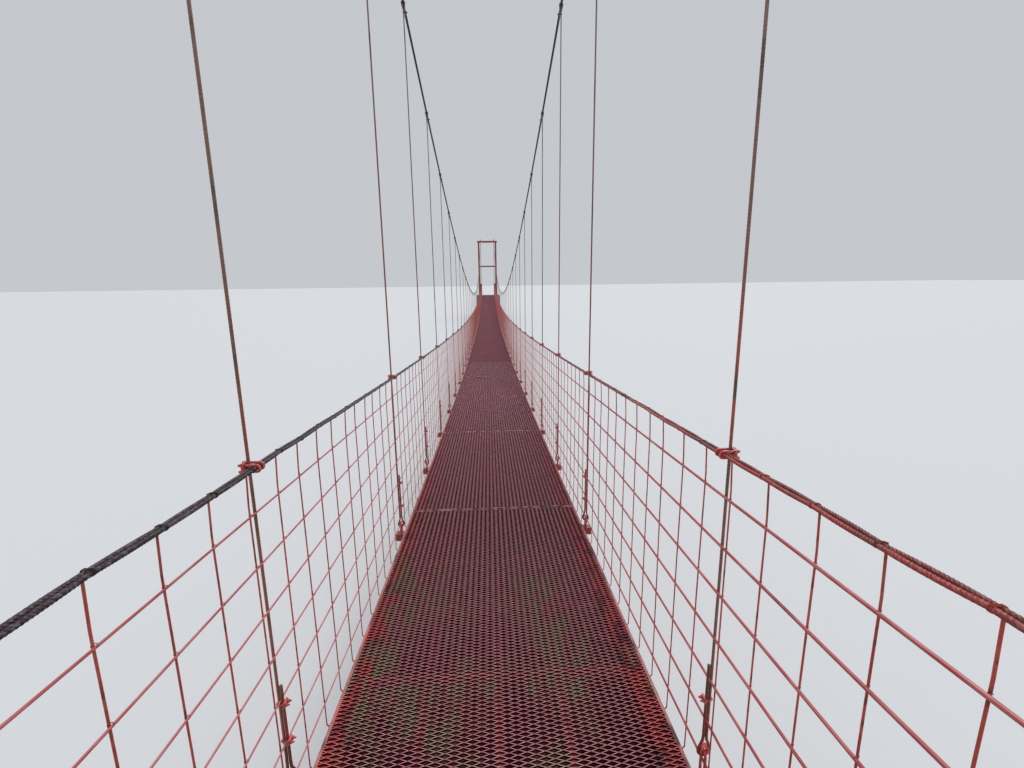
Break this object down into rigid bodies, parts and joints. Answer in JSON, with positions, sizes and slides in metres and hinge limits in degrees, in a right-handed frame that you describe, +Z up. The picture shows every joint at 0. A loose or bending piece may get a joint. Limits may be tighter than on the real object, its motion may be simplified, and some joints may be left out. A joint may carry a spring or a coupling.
{
  "type": "half-size scale model of a rope suspension footbridge",
  "caption": "Long narrow suspension footbridge with an expanded metal deck, wire rope sides, hangers from two main cables, steel portal towers and concrete anchors.",
  "frame": {"origin": "mid-span on the lowest ground that the concrete reaches, at the centre of the underside of the bounding box", "axes": "+X along the bridge from the near tower to the far tower, +Y to the left, +Z up"},
  "size_m": [33.3748, 1.15, 3.6457],
  "materials": {
    "painted_steel": "weathered red paint with rust at the edges",
    "deck_steel": "worn red paint with moss and dirt",
    "side_wire": "satin red paint",
    "rail_rope": "weathered wire rope with worn paint",
    "dark_cable": "weathered dark wire rope",
    "concrete": "weathered board-marked concrete"
  },
  "bodies": {
    "root": {"near_abutment": "concrete", "near_top_beam": "painted_steel", "near_middle_beam": "painted_steel", "near_left_leg": "painted_steel", "near_left_saddle": "painted_steel", "near_left_backstay": "dark_cable", "near_left_anchor": "concrete", "near_right_leg": "painted_steel", "near_right_saddle": "painted_steel", "near_right_backstay": "dark_cable", "near_right_anchor": "concrete", "far_abutment": "concrete", "far_top_beam": "painted_steel", "far_middle_beam": "painted_steel", "far_left_leg": "painted_steel", "far_left_saddle": "painted_steel", "far_left_backstay": "dark_cable", "far_left_anchor": "concrete", "far_right_leg": "painted_steel", "far_right_saddle": "painted_steel", "far_right_backstay": "dark_cable", "far_right_anchor": "concrete", "left_main_cable": "dark_cable", "left_handrail": "rail_rope", "left_side_1": "side_wire", "left_side_2": "side_wire", "left_side_3": "side_wire", "right_main_cable": "dark_cable", "right_handrail": "rail_rope", "right_side_1": "side_wire", "right_side_2": "side_wire", "right_side_3": "side_wire", "deck_frame_1": "painted_steel", "deck_frame_2": "painted_steel", "deck_frame_3": "painted_steel", "deck_frame_4": "painted_steel", "deck_panel_1": "deck_steel", "deck_panel_2": "deck_steel", "deck_panel_3": "deck_steel", "deck_panel_4": "deck_steel", "deck_panel_5": "deck_steel", "deck_panel_6": "deck_steel", "deck_panel_7": "deck_steel"}
  },
  "joints": []
}
